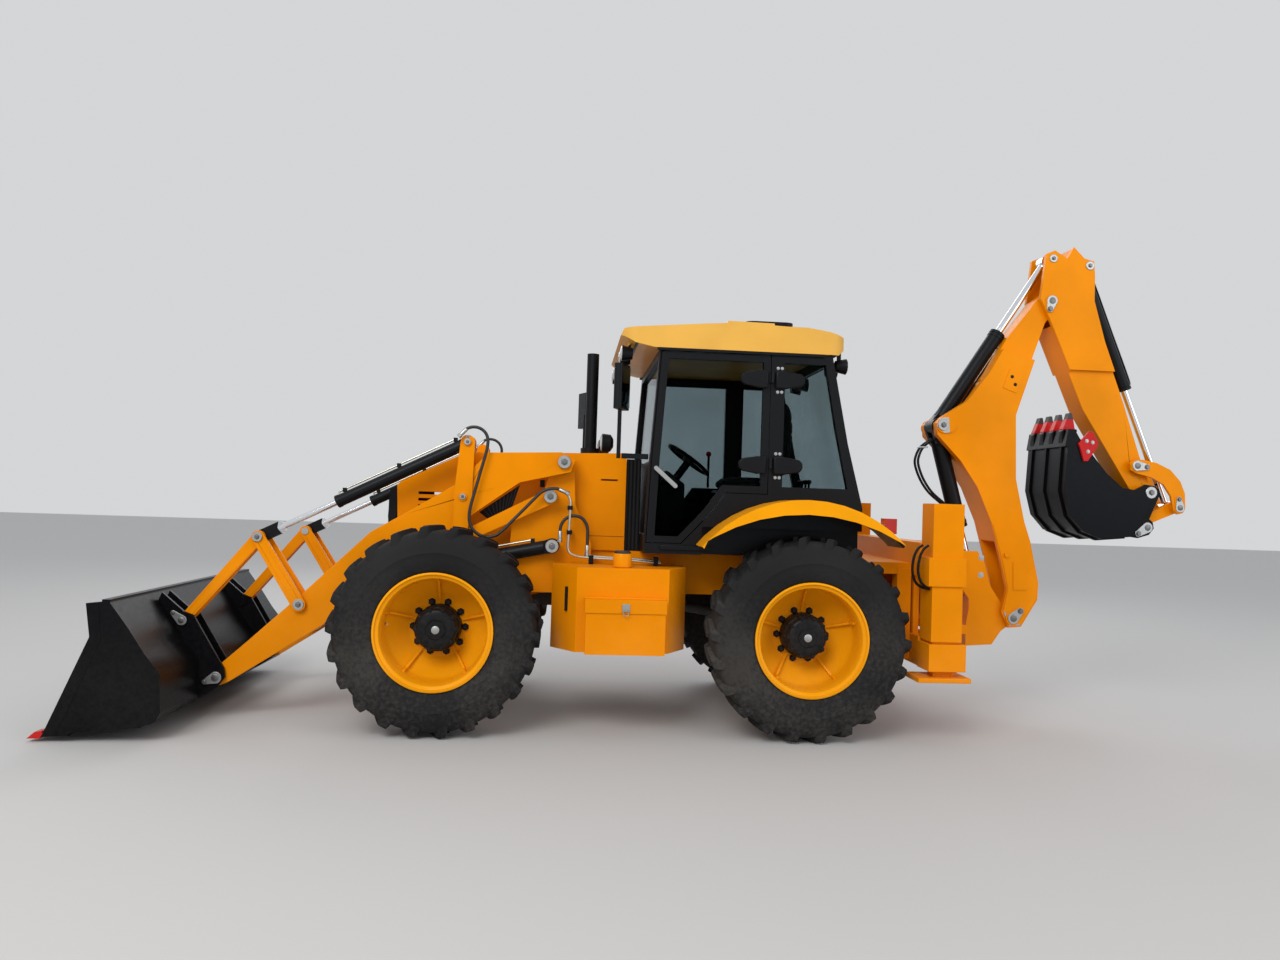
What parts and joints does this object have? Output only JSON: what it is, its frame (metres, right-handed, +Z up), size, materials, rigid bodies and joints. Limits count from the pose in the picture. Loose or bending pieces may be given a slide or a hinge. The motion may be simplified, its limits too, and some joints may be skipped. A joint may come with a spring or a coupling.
{
  "type": "backhoe loader",
  "caption": "Four-wheel backhoe loader with parallel-lift front bucket, glazed cab, box stabilisers and a folded side-shift hoe with a toothed bucket.",
  "frame": {"origin": "on the ground, under the middle of the machine's bounding box", "axes": "+X forward to the loader bucket, +Y to the machine's left, +Z up"},
  "size_m": [8, 2.408, 3.664],
  "materials": {
    "yellow_paint": "gloss",
    "golden_paint": "gloss",
    "black_paint": "satin",
    "bucket_black": "gloss",
    "dark_castings": "matt",
    "chrome_rod": "polished",
    "zinc_steel": "satin",
    "tyre_rubber": "matt",
    "hose_rubber": "matt",
    "tinted_glass": "polished",
    "seat_cloth": "matt"
  },
  "bodies": {
    "machine": {"chassis": "yellow_paint", "driveline": "dark_castings", "hood": "yellow_paint", "hoses": "hose_rubber", "cab": "black_paint", "cab_glass": "tinted_glass", "roof": "golden_paint", "seat": "seat_cloth", "fenders_tanks": "yellow_paint"},
    "door": {"door": "black_paint"},
    "toolbox_lid": {"toolbox_lid": "yellow_paint"},
    "knuckle_left": {"knuckle_left": "black_paint"},
    "knuckle_right": {"knuckle_right": "black_paint"},
    "wheel_front_left": {"wheel_front_left": "tyre_rubber"},
    "wheel_front_right": {"wheel_front_right": "tyre_rubber"},
    "wheel_rear_left": {"wheel_rear_left": "tyre_rubber"},
    "wheel_rear_right": {"wheel_rear_right": "tyre_rubber"},
    "loader_arms": {"loader_arms": "yellow_paint"},
    "bell_cranks": {"bell_cranks": "yellow_paint"},
    "levelling_rods": {"levelling_rods": "yellow_paint"},
    "lift_barrels": {"lift_barrels": "black_paint"},
    "lift_rods": {"lift_rods": "chrome_rod"},
    "tip_barrels": {"tip_barrels": "black_paint"},
    "tip_rods": {"tip_rods": "chrome_rod"},
    "bucket_links": {"bucket_links": "yellow_paint"},
    "joint_pins": {"joint_pins": "zinc_steel"},
    "guide_pins": {"guide_pins": "yellow_paint"},
    "guide_links": {"guide_links": "yellow_paint"},
    "bucket_pins": {"bucket_pins": "zinc_steel"},
    "loader_bucket": {"loader_bucket": "bucket_black"},
    "carriage": {"carriage": "yellow_paint"},
    "king_post": {"king_post": "yellow_paint"},
    "boom": {"boom": "yellow_paint"},
    "boom_barrel": {"boom_barrel": "black_paint"},
    "boom_rod": {"boom_rod": "chrome_rod"},
    "dipper": {"dipper": "yellow_paint"},
    "dipper_barrel": {"dipper_barrel": "black_paint"},
    "dipper_rod": {"dipper_rod": "chrome_rod"},
    "scoop_barrel": {"scoop_barrel": "black_paint"},
    "scoop_rod": {"scoop_rod": "chrome_rod"},
    "scoop_lever": {"scoop_lever": "yellow_paint"},
    "scoop_link": {"scoop_link": "yellow_paint"},
    "hoe_bucket": {"hoe_bucket": "bucket_black"},
    "stabiliser_left": {"stabiliser_left": "yellow_paint"},
    "stabiliser_right": {"stabiliser_right": "yellow_paint"}
  },
  "joints": [
    {"name": "steer_left", "type": "hinge", "parent": "machine", "child": "knuckle_left", "pos_m": [1.671, 0.64, 0.6825], "axis": [0, 0, 1], "range_deg": [-12, 12]},
    {"name": "roll_front_left", "type": "hinge", "parent": "knuckle_left", "child": "wheel_front_left", "pos_m": [1.671, 0.894, 0.6825], "axis": [0, 1, 0], "continuous": true},
    {"name": "roll_rear_left", "type": "hinge", "parent": "machine", "child": "wheel_rear_left", "pos_m": [-0.787, 0.894, 0.6825], "axis": [0, 1, 0], "continuous": true},
    {"name": "steer_right", "type": "hinge", "parent": "machine", "child": "knuckle_right", "pos_m": [1.671, -0.64, 0.6825], "axis": [0, 0, 1], "range_deg": [-12, 12]},
    {"name": "roll_front_right", "type": "hinge", "parent": "knuckle_right", "child": "wheel_front_right", "pos_m": [1.671, -0.894, 0.6825], "axis": [0, 1, 0], "continuous": true},
    {"name": "roll_rear_right", "type": "hinge", "parent": "machine", "child": "wheel_rear_right", "pos_m": [-0.787, -0.894, 0.6825], "axis": [0, 1, 0], "continuous": true},
    {"name": "cab_door", "type": "hinge", "parent": "machine", "child": "door", "pos_m": [-0.529, 0.795, 1.9], "axis": [0, 0, 1], "range_deg": [0, 100]},
    {"name": "toolbox_open", "type": "hinge", "parent": "machine", "child": "toolbox_lid", "pos_m": [0.444, 0.957, 0.918], "axis": [1, 0, 0], "range_deg": [0, 85]},
    {"name": "loader_lift", "type": "hinge", "parent": "machine", "child": "loader_arms", "pos_m": [0.877, 0, 1.815], "axis": [0, -1, 0], "range_deg": [-3, 74]},
    {"name": "crank_swing", "type": "hinge", "parent": "loader_arms", "child": "bell_cranks", "pos_m": [1.564, 0, 1.553], "axis": [0, -1, 0], "range_deg": [-64.95, 2.83]},
    {"name": "level_swing", "type": "hinge", "parent": "machine", "child": "levelling_rods", "pos_m": [0.965, 0, 1.573], "axis": [0, -1, 0], "range_deg": [-3.44, 80.12]},
    {"name": "lift_barrel_swing", "type": "hinge", "parent": "machine", "child": "lift_barrels", "pos_m": [0.943, 0, 1.23], "axis": [0, -1, 0], "range_deg": [-2.95, 67.91]},
    {"name": "lift_extend", "type": "slide", "parent": "lift_barrels", "child": "lift_rods", "axis": [0.9791, 0, -0.2034], "range_m": [-0.0296, 0.6828]},
    {"name": "tip_barrel_swing", "type": "hinge", "parent": "bell_cranks", "child": "tip_barrels", "pos_m": [1.544, 0, 1.93], "axis": [0, -1, 0], "range_deg": [-2.39, 54.22]},
    {"name": "bucket_tip", "type": "hinge", "parent": "bucket_pins", "child": "loader_bucket", "pos_m": [3.15, 0, 0.29], "axis": [0, 1, 0], "range_deg": [-42, 45]},
    {"name": "tip_extend", "type": "slide", "parent": "tip_barrels", "child": "tip_rods", "axis": [0.8927, 0, -0.4506], "range_m": [-0.2809, 0.3008]},
    {"name": "guide_pin_turn", "type": "hinge", "parent": "loader_arms", "child": "guide_pins", "pos_m": [2.632, 0, 0.788], "axis": [0, -1, 0], "range_deg": [-48.3, 2.15]},
    {"name": "guide_link_swing", "type": "hinge", "parent": "guide_pins", "child": "guide_links", "pos_m": [2.632, 0, 0.788], "axis": [0, -1, 0], "range_deg": [-38.14, 35.61]},
    {"name": "joint_pin_turn", "type": "hinge", "parent": "guide_links", "child": "joint_pins", "pos_m": [2.917, 0, 1.237], "axis": [0, -1, 0], "range_deg": [-2.05, 45.93]},
    {"name": "bucket_link_swing", "type": "hinge", "parent": "joint_pins", "child": "bucket_links", "pos_m": [2.917, 0, 1.237], "axis": [0, -1, 0], "range_deg": [-35.31, 37.82]},
    {"name": "bucket_pin_turn", "type": "hinge", "parent": "loader_arms", "child": "bucket_pins", "pos_m": [3.15, 0, 0.29], "axis": [0, -1, 0], "range_deg": [-57.92, 2.54]},
    {"name": "side_shift", "type": "slide", "parent": "machine", "child": "carriage", "axis": [0, 1, 0], "range_m": [-0.55, 0.55]},
    {"name": "hoe_swing", "type": "hinge", "parent": "carriage", "child": "king_post", "pos_m": [-2.119, 0, 0.9], "axis": [0, 0, 1], "range_deg": [-90, 90]},
    {"name": "boom_lower", "type": "hinge", "parent": "king_post", "child": "boom", "pos_m": [-2.601, 0, 0.755], "axis": [0, -1, 0], "range_deg": [0, 105]},
    {"name": "boom_barrel_swing", "type": "hinge", "parent": "boom", "child": "boom_barrel", "pos_m": [-2.01, 0, 2.223], "axis": [0, -1, 0], "range_deg": [-0.2, 9.96]},
    {"name": "boom_extend", "type": "slide", "parent": "boom_barrel", "child": "boom_rod", "axis": [-0.2631, 0, -0.9648], "range_m": [-0.002, 0.6719]},
    {"name": "dipper_open", "type": "hinge", "parent": "boom", "child": "dipper", "pos_m": [-2.87, 0, 3.231], "axis": [0, 1, 0], "range_deg": [0, 115]},
    {"name": "dipper_barrel_swing", "type": "hinge", "parent": "boom", "child": "dipper_barrel", "pos_m": [-2.01, 0, 2.223], "axis": [0, -1, 0], "range_deg": [-7.79, 0.2]},
    {"name": "dipper_extend", "type": "slide", "parent": "dipper_barrel", "child": "dipper_rod", "axis": [-0.5418, 0, 0.8405], "range_m": [-0.5701, 0.002]},
    {"name": "scoop_open", "type": "hinge", "parent": "dipper", "child": "hoe_bucket", "pos_m": [-3.674, 0, 1.759], "axis": [0, 1, 0], "range_deg": [0, 150]},
    {"name": "scoop_barrel_swing", "type": "hinge", "parent": "dipper", "child": "scoop_barrel", "pos_m": [-3.173, 0, 3.523], "axis": [0, 1, 0], "range_deg": [-0.2, 12.65]},
    {"name": "scoop_extend", "type": "slide", "parent": "scoop_barrel", "child": "scoop_rod", "axis": [-0.3739, 0, -0.9274], "range_m": [-0.5555, 0.002]},
    {"name": "scoop_lever_swing", "type": "hinge", "parent": "dipper", "child": "scoop_lever", "pos_m": [-3.574, 0, 1.965], "axis": [0, 1, 0], "range_deg": [-0.2, 86.9]},
    {"name": "scoop_link_swing", "type": "hinge", "parent": "hoe_bucket", "child": "scoop_link", "pos_m": [-3.574, 0, 1.487], "axis": [0, -1, 0], "range_deg": [-0.2, 73.25]},
    {"name": "stabiliser_left_down", "type": "slide", "parent": "machine", "child": "stabiliser_left", "axis": [0, 0, -1], "range_m": [0, 0.5]},
    {"name": "stabiliser_right_down", "type": "slide", "parent": "machine", "child": "stabiliser_right", "axis": [0, 0, -1], "range_m": [0, 0.5]}
  ],
  "couplings": [
    {"joint": "steer_right", "follows": "steer_left", "ratio": 1},
    {"joint": "crank_swing", "follows": "loader_lift", "ratio": -0.875},
    {"joint": "level_swing", "follows": "loader_lift", "ratio": 1.08},
    {"joint": "lift_barrel_swing", "follows": "loader_lift", "ratio": 0.915},
    {"joint": "lift_extend", "follows": "loader_lift", "m_per_rad": 0.5271},
    {"joint": "tip_barrel_swing", "follows": "loader_lift", "ratio": 0.73},
    {"joint": "joint_pin_turn", "follows": "loader_lift", "ratio": 0.618},
    {"joint": "bucket_link_swing", "follows": "bucket_tip", "ratio": 0.836},
    {"joint": "guide_pin_turn", "follows": "loader_lift", "ratio": -0.65},
    {"joint": "bucket_pin_turn", "follows": "loader_lift", "ratio": -0.78},
    {"joint": "tip_extend", "follows": "bucket_tip", "m_per_rad": 0.3804},
    {"joint": "guide_link_swing", "follows": "bucket_tip", "ratio": -0.843},
    {"joint": "boom_barrel_swing", "follows": "boom_lower", "ratio": 0.093},
    {"joint": "boom_extend", "follows": "boom_lower", "m_per_rad": 0.3655},
    {"joint": "dipper_barrel_swing", "follows": "dipper_open", "ratio": -0.066},
    {"joint": "dipper_extend", "follows": "dipper_open", "m_per_rad": -0.283},
    {"joint": "scoop_barrel_swing", "follows": "scoop_open", "ratio": 0.083},
    {"joint": "scoop_extend", "follows": "scoop_open", "m_per_rad": -0.2114},
    {"joint": "scoop_lever_swing", "follows": "scoop_open", "ratio": 0.578},
    {"joint": "scoop_link_swing", "follows": "scoop_open", "ratio": 0.487}
  ]
}
